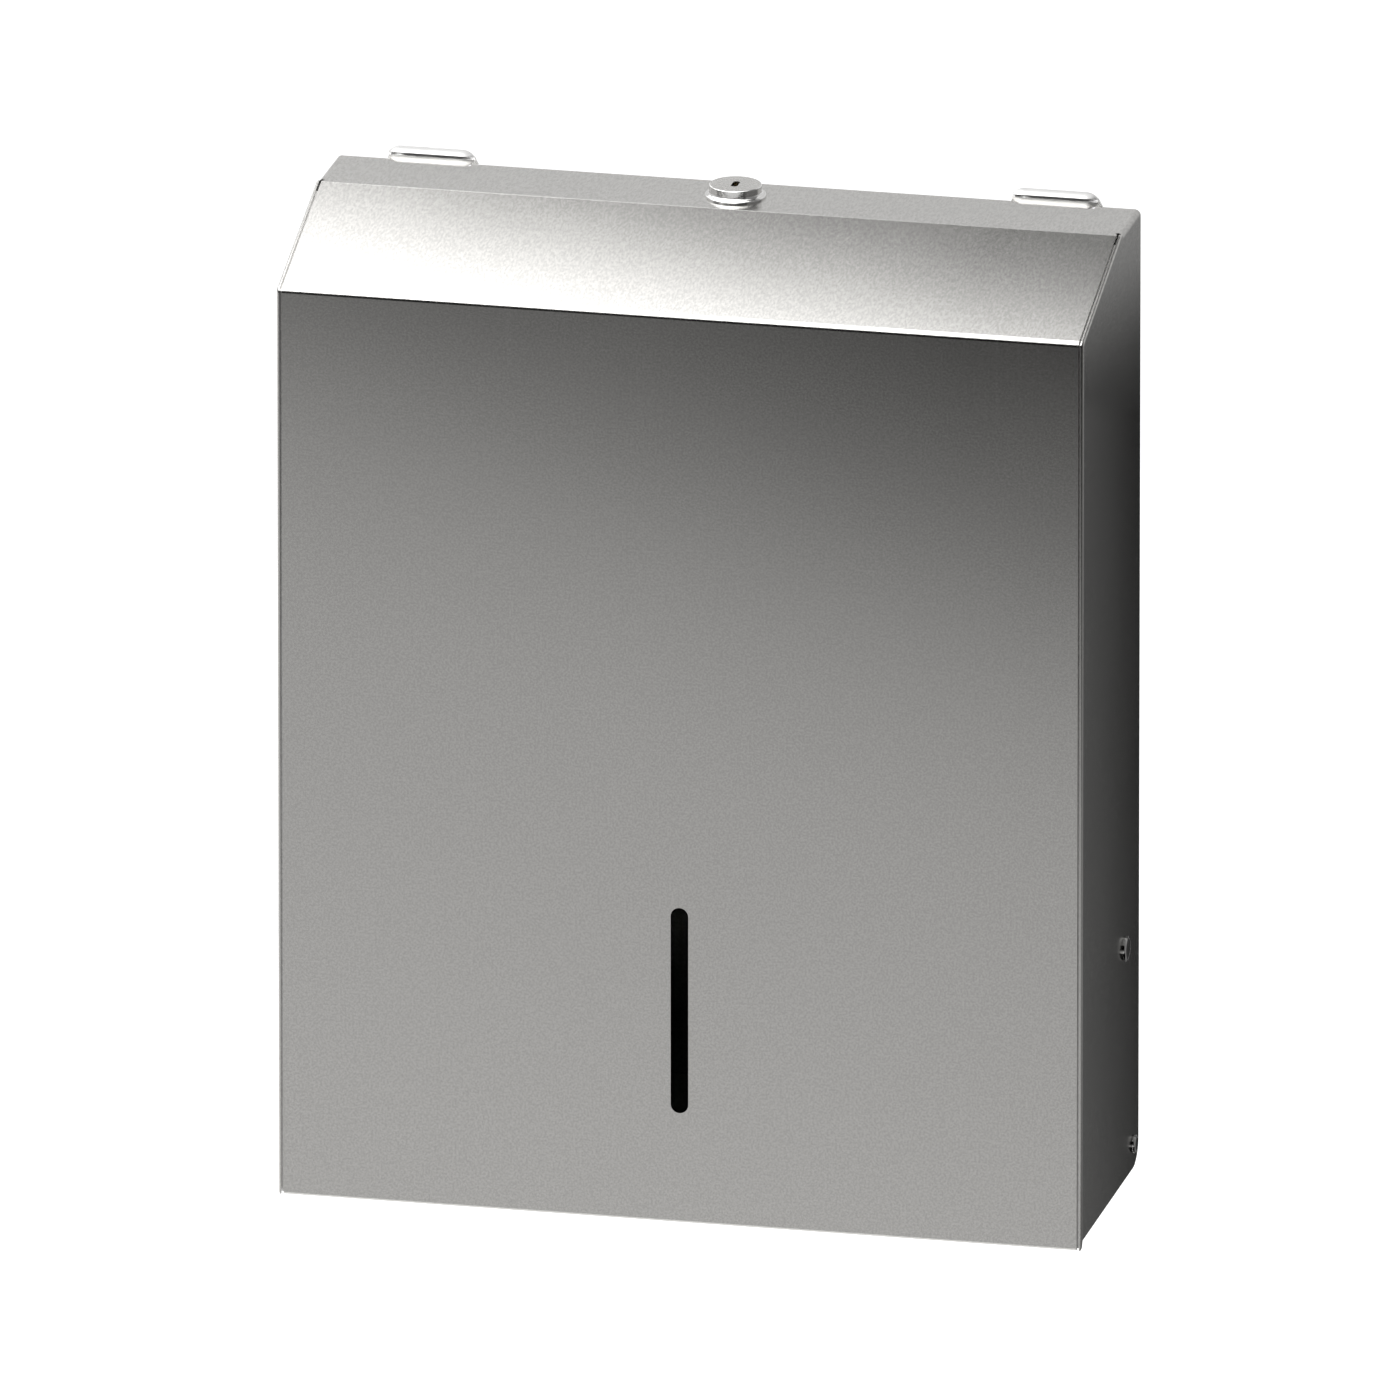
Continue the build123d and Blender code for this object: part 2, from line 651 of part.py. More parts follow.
export_step(lock_housing.part, "parts/lock_housing.step")

# Lock washer and nut: under the top strip, on the housing's body
with BuildPart() as lock_washer:
    with BuildSketch(Plane.XY.offset(inner_top_z)):
        with Locations((top_offset, lock_y)):
            Circle(lock_washer_diameter / 2)
            Circle(lock_body_diameter / 2 + seat_clearance, mode=Mode.SUBTRACT)
    extrude(amount=-lock_washer_thickness)
lock_washer.part.label = "lock_washer"
export_step(lock_washer.part, "parts/lock_washer.step")

with BuildPart() as lock_nut:
    with BuildSketch(Plane.XY.offset(nut_top_z)):
        with Locations((top_offset, lock_y)):
            RegularPolygon(nut_corner, 6)
            Circle(lock_body_diameter / 2 + seat_clearance, mode=Mode.SUBTRACT)
    extrude(amount=-lock_nut_height)
lock_nut.part.label = "lock_nut"
export_step(lock_nut.part, "parts/lock_nut.step")

# Lock plug: turns in the housing, with the key's socket on top and a square tail for the cam
with BuildPart() as lock_plug:
    plug_top_z = bore_top_z - plug_top_gap
    with BuildSketch(Plane.XY.offset(cam_top_z)):
        with Locations((top_offset, lock_y)):
            Circle(plug_diameter / 2)
    extrude(amount=plug_top_z - cam_top_z)
    with BuildSketch(Plane.XY.offset(cam_top_z)):
        with Locations((top_offset, lock_y)):
            Rectangle(tail_square, tail_square)
    extrude(amount=-cam_thickness)
    with BuildSketch(Plane.XY.offset(plug_top_z)):
        with Locations((top_offset, lock_y)):
            SlotOverall(keyhole_length, keyhole_width, rotation=quarter_turn)
    extrude(amount=-key_socket_depth, mode=Mode.SUBTRACT)
    with BuildSketch(Plane.XY.offset(cam_low_z)):
        with Locations((top_offset, lock_y)):
            Circle(cam_screw_diameter / 2 + seat_clearance)
    extrude(amount=cam_screw_length, mode=Mode.SUBTRACT)
lock_plug.part.label = "lock_plug"
export_step(lock_plug.part, "parts/lock_plug.step")

# Cam washer, cam and screw: on the plug's tail, below the housing
with BuildPart() as cam_washer:
    with BuildSketch(Plane.XY.offset(cam_top_z)):
        with Locations((top_offset, lock_y)):
            Circle(cam_washer_diameter / 2)
            Circle(plug_diameter / 2 + seat_clearance, mode=Mode.SUBTRACT)
    extrude(amount=cam_washer_thickness)
cam_washer.part.label = "cam_washer"
export_step(cam_washer.part, "parts/cam_washer.step")

with BuildPart() as lock_cam:
    with BuildSketch(Plane.XY.offset(cam_low_z)) as cam_outline:
        with Locations((top_offset, lock_y + cam_reach / 2)):
            Rectangle(cam_width, cam_reach)
        fillet(cam_outline.vertices().group_by(Axis.Y)[-1], radius=cam_tip_round)
        with Locations((top_offset, lock_y)):
            Circle(cam_width / 2)
            Rectangle(
                tail_square + 2 * seat_clearance, tail_square + 2 * seat_clearance, mode=Mode.SUBTRACT
            )
    extrude(amount=cam_thickness)
lock_cam.part.label = "lock_cam"
export_step(lock_cam.part, "parts/lock_cam.step")

with BuildPart() as cam_screw:
    with BuildSketch(Plane.XY.offset(cam_low_z)):
        with Locations((top_offset, lock_y)):
            Circle(cam_screw_diameter / 2)
    extrude(amount=cam_screw_length - screw_end_gap)
    with BuildSketch(Plane.XY.offset(cam_low_z)):
        with Locations((top_offset, lock_y)):
            Circle(cam_screw_head_diameter / 2)
    extrude(amount=-cam_screw_head_height)
    with BuildSketch(Plane.XY.offset(cam_low_z - cam_screw_head_height)):
        with Locations((top_offset, lock_y)):
            Rectangle(cam_screw_head_diameter + overrun, cam_slot_width)
    extrude(amount=cam_slot_depth, mode=Mode.SUBTRACT)
cam_screw.part.label = "cam_screw"
export_step(cam_screw.part, "parts/cam_screw.step")
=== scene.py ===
import math

import bmesh
import bpy
from bpy.props import FloatProperty, FloatVectorProperty, IntProperty, PointerProperty
from mathutils import Matrix, Vector


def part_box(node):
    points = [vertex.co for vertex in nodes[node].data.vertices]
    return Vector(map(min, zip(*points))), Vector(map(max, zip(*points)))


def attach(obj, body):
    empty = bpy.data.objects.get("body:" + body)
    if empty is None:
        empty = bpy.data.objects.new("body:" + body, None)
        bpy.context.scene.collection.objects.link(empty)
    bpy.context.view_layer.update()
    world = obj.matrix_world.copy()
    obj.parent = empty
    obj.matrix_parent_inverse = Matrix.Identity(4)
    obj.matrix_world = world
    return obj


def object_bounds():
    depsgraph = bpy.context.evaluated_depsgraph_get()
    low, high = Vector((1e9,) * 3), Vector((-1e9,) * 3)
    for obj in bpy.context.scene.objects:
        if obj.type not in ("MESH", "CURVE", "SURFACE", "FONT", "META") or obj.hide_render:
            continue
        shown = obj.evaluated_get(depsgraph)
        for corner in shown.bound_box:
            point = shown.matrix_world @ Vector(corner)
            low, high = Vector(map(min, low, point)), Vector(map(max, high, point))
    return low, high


bl_info = {
    "name": "Towel Dispenser",
    "version": (1, 0, 0),
    "blender": (4, 5, 0),
    "location": "View3D > Sidebar > Dispenser",
    "description": "Finishes a wall-mounted towel dispenser and sets it in a plain studio",
    "category": "Object",
}

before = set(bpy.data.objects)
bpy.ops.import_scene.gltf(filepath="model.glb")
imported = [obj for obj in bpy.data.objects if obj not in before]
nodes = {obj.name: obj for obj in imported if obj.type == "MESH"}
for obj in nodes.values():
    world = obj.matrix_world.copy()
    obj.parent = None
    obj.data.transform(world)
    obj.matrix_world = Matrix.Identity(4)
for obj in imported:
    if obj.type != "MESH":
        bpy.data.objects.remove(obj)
cad_low, cad_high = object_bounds()

# Sizes of CAD pieces that their boxes don't give
LUG_RADIUS = 0.00285
LUG_SHEET = 0.0009
STRIKE_SHEET = 0.0015
TRAY_SHEET = 0.001
ANGLE_SHEET = 0.001

# Places of the weld marks on their pieces
TRAY_WELD_DROP = 0.008
LUG_WELD_RISE = 0.008
LUG_WELD_OFFSETS = (-0.006, 0.006)
STRIKE_WELD_RISES = (0.005, 0.013)
ANGLE_WELD_INSET = 0.0065
ANGLE_WELD_STAGGER = 0.012
ANGLE_WELD_SHARE = 0.9

# Steps in one full turn
WELD_STEPS = 28
THREAD_STEPS = 40

# Colour sockets of a Mix node
MIX_FIRST, MIX_SECOND, MIX_RESULT = 6, 7, 2


# Settings that a user would change


class DispenserFinish(bpy.types.PropertyGroup):
    """Colours and grain of the dispenser's metals and plastic."""

    satin_colour: FloatVectorProperty(
        name="Satin Steel",
        description="Colour of the cover's sheet",
        subtype="COLOR",
        default=(0.48, 0.473, 0.458),
        min=0,
        max=1,
    )
    satin_roughness: FloatProperty(
        name="Satin Roughness",
        description="How matt the cover's sheet is",
        subtype="FACTOR",
        default=0.2,
        min=0,
        max=1,
    )
    mill_colour: FloatVectorProperty(
        name="Mill Steel",
        description="Colour of the plain sheet inside",
        subtype="COLOR",
        default=(0.5, 0.495, 0.485),
        min=0,
        max=1,
    )
    lug_colour: FloatVectorProperty(
        name="Lug Steel",
        description="Colour of the rolled lugs",
        subtype="COLOR",
        default=(0.76, 0.757, 0.75),
        min=0,
        max=1,
    )
    polished_colour: FloatVectorProperty(
        name="Polished Steel",
        description="Colour of the lock's head",
        subtype="COLOR",
        default=(0.7, 0.695, 0.685),
        min=0,
        max=1,
    )
    rivet_colour: FloatVectorProperty(
        name="Rivet Steel",
        description="Colour of the rivets and pins",
        subtype="COLOR",
        default=(0.5, 0.495, 0.485),
        min=0,
        max=1,
    )
    zinc_colour: FloatVectorProperty(
        name="Zinc Plating",
        description="Colour of the plated lock parts and washers",
        subtype="COLOR",
        default=(0.6, 0.61, 0.63),
        min=0,
        max=1,
    )
    brass_colour: FloatVectorProperty(
        name="Brass",
        description="Colour of the lock's plug",
        subtype="COLOR",
        default=(0.72, 0.58, 0.3),
        min=0,
        max=1,
    )
    nylon_colour: FloatVectorProperty(
        name="Nylon",
        description="Colour of the hinge washers and stop bushes",
        subtype="COLOR",
        default=(0.86, 0.86, 0.82),
        min=0,
        max=1,
    )
    grain_size: FloatProperty(
        name="Grain Size",
        description="Width of the satin sheet's specks",
        subtype="DISTANCE",
        unit="LENGTH",
        default=0.0007,
        min=0.0001,
    )


class DispenserDetails(bpy.types.PropertyGroup):
    """Sizes of the weld marks and of the lock's thread."""

    weld_diameter: FloatProperty(
        name="Weld Mark",
        description="Width of a spot weld's mark",
        subtype="DISTANCE",
        unit="LENGTH",
        default=0.0046,
        min=0.001,
    )
    weld_height: FloatProperty(
        name="Weld Height",
        description="Height of a weld mark's rim",
        subtype="DISTANCE",
        unit="LENGTH",
        default=0.0001,
        min=0,
    )
    angle_welds: IntProperty(
        name="Angle Welds",
        description="Weld marks down each seam angle",
        default=6,
        min=1,
    )
    tray_welds: IntProperty(
        name="Tray Welds",
        description="Weld marks along the tray's rear lip",
        default=5,
        min=1,
    )
    thread_diameter: FloatProperty(
        name="Thread Diameter",
        description="Width of the lock's body under its thread",
        subtype="DISTANCE",
        unit="LENGTH",
        default=0.016,
        min=0.005,
    )
    thread_pitch: FloatProperty(
        name="Thread Pitch",
        description="Rise of the lock's thread in one turn",
        subtype="DISTANCE",
        unit="LENGTH",
        default=0.001,
        min=0.0005,
    )
    thread_depth: FloatProperty(
        name="Thread Depth",
        description="Height of the lock's thread",
        subtype="DISTANCE",
        unit="LENGTH",
        default=0.0003,
        min=0,
    )


class DispenserStage(bpy.types.PropertyGroup):
    """Camera, floor and light of the studio."""

    azimuth: FloatProperty(
        name="Azimuth",
        description="How far the camera stands to the right of the front",
        subtype="ANGLE",
        unit="ROTATION",
        default=math.radians(12.764),
    )
    elevation: FloatProperty(
        name="Elevation",
        description="How far the camera stands above the horizon",
        subtype="ANGLE",
        unit="ROTATION",
        default=math.radians(17.996),
    )
    lens: FloatProperty(
        name="Lens",
        description="Focal length in millimetres",
        default=1500,
        min=50,
    )
    frame_width: FloatProperty(
        name="Frame Width",
        description="Width of what the camera takes in, at the dispenser",
        subtype="DISTANCE",
        unit="LENGTH",
        default=0.4682,
        min=0.1,
    )
    aim: FloatVectorProperty(
        name="Aim",
        description="Point in the middle of the frame",
        subtype="TRANSLATION",
        unit="LENGTH",
        default=(-0.011624, -0.006625, -0.011984),
    )
    floor_drop: FloatProperty(
        name="Floor Drop",
        description="Height of the dispenser's foot above the floor",
        subtype="DISTANCE",
        unit="LENGTH",
        default=0.28,
        min=0.07,
    )
    floor_colour: FloatVectorProperty(
        name="Floor",
        description="Colour of the floor",
        subtype="COLOR",
        default=(0.82, 0.82, 0.82),
        min=0,
        max=1,
    )
    ambient: FloatProperty(
        name="Ambient",
        description="Strength of the soft light from all round",
        default=0.55,
        min=0,
    )
    key_power: FloatProperty(
        name="Key Lamp",
        description="Power of the large soft lamp at the left",
        subtype="POWER",
        unit="POWER",
        default=60.0,
        min=0,
    )


# Materials


def node(tree, kind, links=None, **settings):
    """Add a node, set its options and inputs, and link the sockets given to its inputs."""
    made = tree.nodes.new(kind)
    for name, value in settings.items():
        if name in made.inputs:
            made.inputs[name].default_value = value
        else:
            setattr(made, name, value)
    for name, socket in (links or {}).items():
        tree.links.new(socket, made.inputs[name])
    return made


def math_node(tree, operation, first, second):
    """Add a Math node whose two inputs are sockets or numbers."""
    made = tree.nodes.new("ShaderNodeMath")
    made.operation = operation
    for place, value in enumerate((first, second)):
        if isinstance(value, (int, float)):
            made.inputs[place].default_value = value
        else:
            tree.links.new(value, made.inputs[place])
    return made.outputs[0]


def ranged(tree, socket, low, high):
    """Map a 0 to 1 socket to the range from low to high."""
    made = node(tree, "ShaderNodeMapRange", {"Value": socket})
    made.inputs["To Min"].default_value = low
    made.inputs["To Max"].default_value = high
    return made.outputs["Result"]


def stepped(tree, socket, start, end):
    """Turn a socket into a smooth mask that rises between start and end."""
    made = node(tree, "ShaderNodeMapRange", {"Value": socket}, interpolation_type="SMOOTHSTEP")
    made.inputs["From Min"].default_value = start
    made.inputs["From Max"].default_value = end
    return made.outputs["Result"]


def object_noise(tree, scale, stretch=(1, 1, 1), turn=(0, 0, 0), detail=2.0):
    """Noise on the piece's own coordinates, stretched and turned. Scale may be a socket."""
    place = node(tree, "ShaderNodeTexCoord")
    mapping = node(tree, "ShaderNodeMapping", {"Vector": place.outputs["Object"]})
    mapping.inputs["Scale"].default_value = stretch
    mapping.inputs["Rotation"].default_value = turn
    noise = node(tree, "ShaderNodeTexNoise", {"Vector": mapping.outputs["Vector"]}, Detail=detail)
    if isinstance(scale, (int, float)):
        noise.inputs["Scale"].default_value = scale
    else:
        tree.links.new(scale, noise.inputs["Scale"])
    return noise.outputs["Fac"]


def new_group(name, inputs, outputs):
    """Start a shader node group with named value inputs and outputs."""
    tree = bpy.data.node_groups.new(name, "ShaderNodeTree")
    for label, default in inputs:
        socket = tree.interface.new_socket(label, in_out="INPUT", socket_type="NodeSocketFloat")
        socket.default_value = default
    for label in outputs:
        tree.interface.new_socket(label, in_out="OUTPUT", socket_type="NodeSocketFloat")
    return tree, tree.nodes.new("NodeGroupInput"), tree.nodes.new("NodeGroupOutput")


def sheet_grain_group():
    """Fine specks, faint upright streaks and soft patches of a satin sheet."""
    name = "Sheet Grain"
    if name in bpy.data.node_groups:
        return bpy.data.node_groups[name]
    tree, given, result = new_group(
        name, (("Frequency", 1100.0), ("Streaks", 0.3)), ("Height", "Specks", "Patches")
    )
    grain = object_noise(tree, given.outputs["Frequency"], stretch=(1, 0.3, 1), detail=1.0)
    streaks = object_noise(tree, given.outputs["Frequency"], stretch=(0.6, 0.6, 0.03), detail=1.0)
    share = math_node(tree, "MULTIPLY", streaks, given.outputs["Streaks"])
    tree.links.new(math_node(tree, "ADD", grain, share), result.inputs["Height"])
    tree.links.new(stepped(tree, grain, start=0.3, end=0.7), result.inputs["Specks"])
    tree.links.new(object_noise(tree, 14.0, detail=3.0), result.inputs["Patches"])
    return tree


def hairline_group():
    """Sparse fine scratches from handling, in two directions."""
    name = "Hairlines"
    if name in bpy.data.node_groups:
        return bpy.data.node_groups[name]
    tree, given, result = new_group(name, (("Amount", 0.5),), ("Mask",))
    masks = []
    for turn in ((0.3, 0.5, 0.2), (-0.6, 0.9, 1.1)):
        lines = object_noise(tree, 900.0, stretch=(1, 1, 0.012), turn=turn, detail=0.0)
        patches = object_noise(tree, 28.0, turn=turn, detail=1.0)
        thin = stepped(tree, lines, start=0.7, end=0.78)
        sparse = stepped(tree, patches, start=0.5, end=0.62)
        masks.append(math_node(tree, "MULTIPLY", thin, sparse))
    either = math_node(tree, "MAXIMUM", *masks)
    mask = math_node(tree, "MULTIPLY", either, given.outputs["Amount"])
    tree.links.new(mask, result.inputs["Mask"])
    return tree


def use_group(tree, group, **values):
    """Place a node group in a material with its own values."""
    made = tree.nodes.new("ShaderNodeGroup")
    made.node_tree = group
    for name, value in values.items():
        made.inputs[name].default_value = value
    return made


def new_material(name, **principled):
    """A material with a Principled shader and its plain values on the shader's own sockets."""
    material = bpy.data.materials.new(name)
    material.use_nodes = True
    shader = material.node_tree.nodes["Principled BSDF"]
    for label, value in principled.items():
        shader.inputs[label.replace("_", " ")].default_value = value
    return material, material.node_tree, shader


def tinted(tree, colour, socket, low, high):
    """The colour, darkened or lightened over the surface by a 0 to 1 socket."""
    mix = node(tree, "ShaderNodeMix", {"Factor": socket}, data_type="RGBA")
    colours = [tuple(min(1, part * share) for part in colour) + (1,) for share in (low, high)]
    mix.inputs[MIX_FIRST].default_value, mix.inputs[MIX_SECOND].default_value = colours
    return mix.outputs[MIX_RESULT]


def add_bump(tree, shader, height, strength, distance):
    """Let a height socket shape the shader's normal."""
    bump = node(tree, "ShaderNodeBump", {"Height": height}, Strength=strength, Distance=distance)
    tree.links.new(bump.outputs["Normal"], shader.inputs["Normal"])


def scratched(tree, roughness, lines, amount):
    """A roughness socket, raised where a hairline group has its lines."""
    wear = math_node(tree, "MULTIPLY", lines.outputs["Mask"], amount)
    return math_node(tree, "ADD", roughness, wear)


def steel_sheet(name, colour, roughness, frequency, streaks):
    """Satin or mill steel sheet: specks, streaks, soft patches and hairlines."""
    patchiness = 0.025
    material, tree, shader = new_material(name, Metallic=1.0)
    grain = use_group(tree, sheet_grain_group(), Frequency=frequency, Streaks=streaks)
    lines = use_group(tree, hairline_group(), Amount=0.2)
    tone = tinted(tree, colour, grain.outputs["Specks"], low=0.92, high=1.08)
    tree.links.new(tone, shader.inputs["Base Color"])
    patchy = ranged(tree, grain.outputs["Patches"], roughness - patchiness, roughness + patchiness)
    tree.links.new(scratched(tree, patchy, lines, amount=0.12), shader.inputs["Roughness"])
    add_bump(tree, shader, grain.outputs["Height"], strength=0.25, distance=0.00003)
    return material


def polished_steel(name, colour, top_colour, roughness, top_roughness):
    """Polished steel with fine wear, and another finish on the faces that look straight up."""
    material, tree, shader = new_material(name, Metallic=1.0)
    lines = use_group(tree, hairline_group(), Amount=1.0)
    haze = object_noise(tree, 160.0, detail=3.0)
    place = node(tree, "ShaderNodeTexCoord")
    parts = node(tree, "ShaderNodeSeparateXYZ", {"Vector": place.outputs["Normal"]})
    flat_top = stepped(tree, parts.outputs["Z"], start=0.97, end=0.995)
    mix = node(tree, "ShaderNodeMix", {"Factor": flat_top}, data_type="RGBA")
    for socket, tint in ((MIX_FIRST, colour), (MIX_SECOND, top_colour)):
        tree.links.new(tinted(tree, tint, haze, low=0.94, high=1.06), mix.inputs[socket])
    tree.links.new(mix.outputs[MIX_RESULT], shader.inputs["Base Color"])
    plain = ranged(tree, haze, low=roughness - 0.02, high=roughness + 0.04)
    satin = math_node(tree, "MULTIPLY", flat_top, top_roughness - roughness)
    finish = math_node(tree, "ADD", plain, satin)
    tree.links.new(scratched(tree, finish, lines, amount=0.1), shader.inputs["Roughness"])
    specks = object_noise(tree, 1500.0, detail=1.0)
    top_specks = math_node(tree, "MULTIPLY", specks, flat_top)
    add_bump(tree, shader, top_specks, strength=0.2, distance=0.00002)
    return material


def pressed_metal(name, colour, roughness, patch_scale, patch_low, patch_high):
    """Plated or plain pressed metal: cloudy tone, uneven gloss and fine scratches."""
    unevenness = 0.08
    material, tree, shader = new_material(name, Metallic=1.0)
    clouds = object_noise(tree, patch_scale, detail=4.0)
    lines = use_group(tree, hairline_group(), Amount=1.0)
    tree.links.new(tinted(tree, colour, clouds, patch_low, patch_high), shader.inputs["Base Color"])
    uneven = ranged(tree, clouds, roughness - unevenness, roughness + unevenness)
    tree.links.new(scratched(tree, uneven, lines, amount=0.15), shader.inputs["Roughness"])
    specks = object_noise(tree, 1800.0, detail=2.0)
    add_bump(tree, shader, specks, strength=0.15, distance=0.00003)
    return material


def turned_brass(name, colour, centre):
    """Machined brass with turning marks round the lock's axis."""
    material, tree, shader = new_material(name, Metallic=1.0)
    place = node(tree, "ShaderNodeTexCoord")
    mapping = node(tree, "ShaderNodeMapping", {"Vector": place.outputs["Object"]})
    mapping.inputs["Location"].default_value = (-centre[0], -centre[1], 0)
    rings = node(
        tree,
        "ShaderNodeTexWave",
        {"Vector": mapping.outputs["Vector"]},
        wave_type="RINGS",
        rings_direction="Z",
        Scale=900.0,
        Distortion=0.6,
    )
    bands = node(
        tree,
        "ShaderNodeTexWave",
        {"Vector": mapping.outputs["Vector"]},
        wave_type="BANDS",
        bands_direction="Z",
        Scale=700.0,
        Distortion=0.4,
    )
    marks = math_node(tree, "MULTIPLY", rings.outputs["Fac"], bands.outputs["Fac"])
    clouds = object_noise(tree, 300.0, detail=3.0)
    tree.links.new(tinted(tree, colour, clouds, low=0.85, high=1.1), shader.inputs["Base Color"])
    tree.links.new(ranged(tree, marks, low=0.22, high=0.36), shader.inputs["Roughness"])
    add_bump(tree, shader, marks, strength=0.2, distance=0.00003)
    return material


def moulded_nylon(name, colour):
    """Natural nylon: faint cloudiness and a fine moulded skin."""
    material, tree, shader = new_material(name, Metallic=0.0, IOR=1.53, Subsurface_Weight=0.1)
    shader.inputs["Subsurface Radius"].default_value = (0.001, 0.001, 0.0008)
    clouds = object_noise(tree, 220.0, detail=3.0)
    tree.links.new(tinted(tree, colour, clouds, low=0.92, high=1.04), shader.inputs["Base Color"])
    tree.links.new(ranged(tree, clouds, low=0.38, high=0.52), shader.inputs["Roughness"])
    skin = object_noise(tree, 2500.0, detail=2.0)
    add_bump(tree, shader, skin, strength=0.2, distance=0.00004)
    return material


def dress(names, material):
    """Give CAD nodes a material."""
    for name in names:
        slots = nodes[name].data.materials
        slots.clear()
        slots.append(material)


# Pieces


def new_piece(name, shape, material, body):
    """Make a finished bmesh an object at the origin that rides on a body."""
    bmesh.ops.remove_doubles(shape, verts=shape.verts, dist=1e-7)
    bmesh.ops.recalc_face_normals(shape, faces=shape.faces)
    mesh = bpy.data.meshes.new(name)
    shape.to_mesh(mesh)
    shape.free()
    for face in mesh.polygons:
        face.use_smooth = True
    piece = bpy.data.objects.new(name, mesh)
    bpy.context.scene.collection.objects.link(piece)
    mesh.materials.append(material)
    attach(piece, body)
    return piece


def add_weld_mark(shape, centre, outward, diameter, height):
    """Add one spot weld's mark to a bmesh: a shallow dish in a soft rim, let into a sheet."""
    across = outward.orthogonal().normalized() * diameter / 2
    profile = (
        (0.0, 0.35),
        (0.5, 0.3),
        (0.72, 0.8),
        (0.84, 1.0),
        (0.94, 0.7),
        (1.0, 0.0),
        (0.94, -0.5),
        (0.0, -0.5),
    )
    points = [
        shape.verts.new(centre + along * across + rise * height * outward)
        for along, rise in profile
    ]
    edges = [shape.edges.new(pair) for pair in zip(points, points[1:])]
    bmesh.ops.spin(
        shape,
        geom=points + edges,
        cent=centre,
        axis=outward,
        angle=math.tau,
        steps=WELD_STEPS,
        use_merge=True,
    )


class DISPENSER_OT_cover(bpy.types.Operator):
    """Give the cover's folded sheet its satin steel"""

    bl_idname = "dispenser.cover"
    bl_label = "Finish Cover"

    def execute(self, context):
        finish = context.scene.dispenser_finish
        satin = steel_sheet(
            "satin_steel",
            finish.satin_colour,
            finish.satin_roughness,
            frequency=1 / finish.grain_size,
            streaks=0.3,
        )
        dress(("cover_shell",), satin)
        return {"FINISHED"}


class DISPENSER_OT_wall_frame(bpy.types.Operator):
    """Give the back plate, cheeks, tray and seam angles their mill steel"""

    bl_idname = "dispenser.wall_frame"
    bl_label = "Finish Wall Frame"

    def execute(self, context):
        finish = context.scene.dispenser_finish
        mill = steel_sheet(
            "mill_steel",
            finish.mill_colour,
            roughness=0.34,
            frequency=0.7 / finish.grain_size,
            streaks=0.5,
        )
        dress(
            (
                "back_plate",
                "left_cheek",
                "right_cheek",
                "towel_tray",
                "left_seam_angle",
                "right_seam_angle",
            ),
            mill,
        )
        return {"FINISHED"}


class DISPENSER_OT_polished(bpy.types.Operator):
    """Polish the rolled lugs and the lock's head"""

    bl_idname = "dispenser.polished"
    bl_label = "Polish Lugs and Lock"

    def execute(self, context):
        finish = context.scene.dispenser_finish
        lug_steel = polished_steel(
            "lug_steel",
            finish.lug_colour,
            finish.lug_colour,
            roughness=0.42,
            top_roughness=0.42,
        )
        lock_steel = polished_steel(
            "lock_steel",
            finish.polished_colour,
            finish.satin_colour,
            roughness=0.1,
            top_roughness=0.26,
        )
        dress(("left_top_lug", "right_top_lug"), lug_steel)
        dress(("lock_housing",), lock_steel)
        return {"FINISHED"}


class DISPENSER_OT_rivets(bpy.types.Operator):
    """Finish the rivets, hinge pins and stop pins"""

    bl_idname = "dispenser.rivets"
    bl_label = "Finish Rivets"

    def execute(self, context):
        finish = context.scene.dispenser_finish
        steel = pressed_metal(
            "rivet_steel",
            finish.rivet_colour,
            roughness=0.14,
            patch_scale=400.0,
            patch_low=0.85,
            patch_high=1.1,
        )
        dress(
            (
                "left_hinge_pin",
                "right_hinge_pin",
                "left_stop_pin",
                "right_stop_pin",
                "cheek_rivets",
                "tray_rivets",
            ),
            steel,
        )
        return {"FINISHED"}


class DISPENSER_OT_lock_parts(bpy.types.Operator):
    """Plate the lock's small parts and washers, and finish the plug in brass"""

    bl_idname = "dispenser.lock_parts"
    bl_label = "Finish Lock Parts"

    def execute(self, context):
        finish = context.scene.dispenser_finish
        zinc = pressed_metal(
            "zinc_plating",
            finish.zinc_colour,
            roughness=0.3,
            patch_scale=180.0,
            patch_low=0.82,
            patch_high=1.12,
        )
        dress(
            (
                "lock_strike",
                "hinge_rings",
                "stop_washers",
                "lock_washer",
                "lock_nut",
                "cam_washer",
                "lock_cam",
                "cam_screw",
            ),
            zinc,
        )
        low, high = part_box("lock_plug")
        brass = turned_brass("plug_brass", finish.brass_colour, (low + high) / 2)
        dress(("lock_plug",), brass)
        return {"FINISHED"}


class DISPENSER_OT_nylon(bpy.types.Operator):
    """Finish the nylon washers and bushes"""

    bl_idname = "dispenser.nylon"
    bl_label = "Finish Nylon"

    def execute(self, context):
        finish = context.scene.dispenser_finish
        nylon = moulded_nylon("natural_nylon", finish.nylon_colour)
        dress(("hinge_washers", "stop_bushes"), nylon)
        return {"FINISHED"}


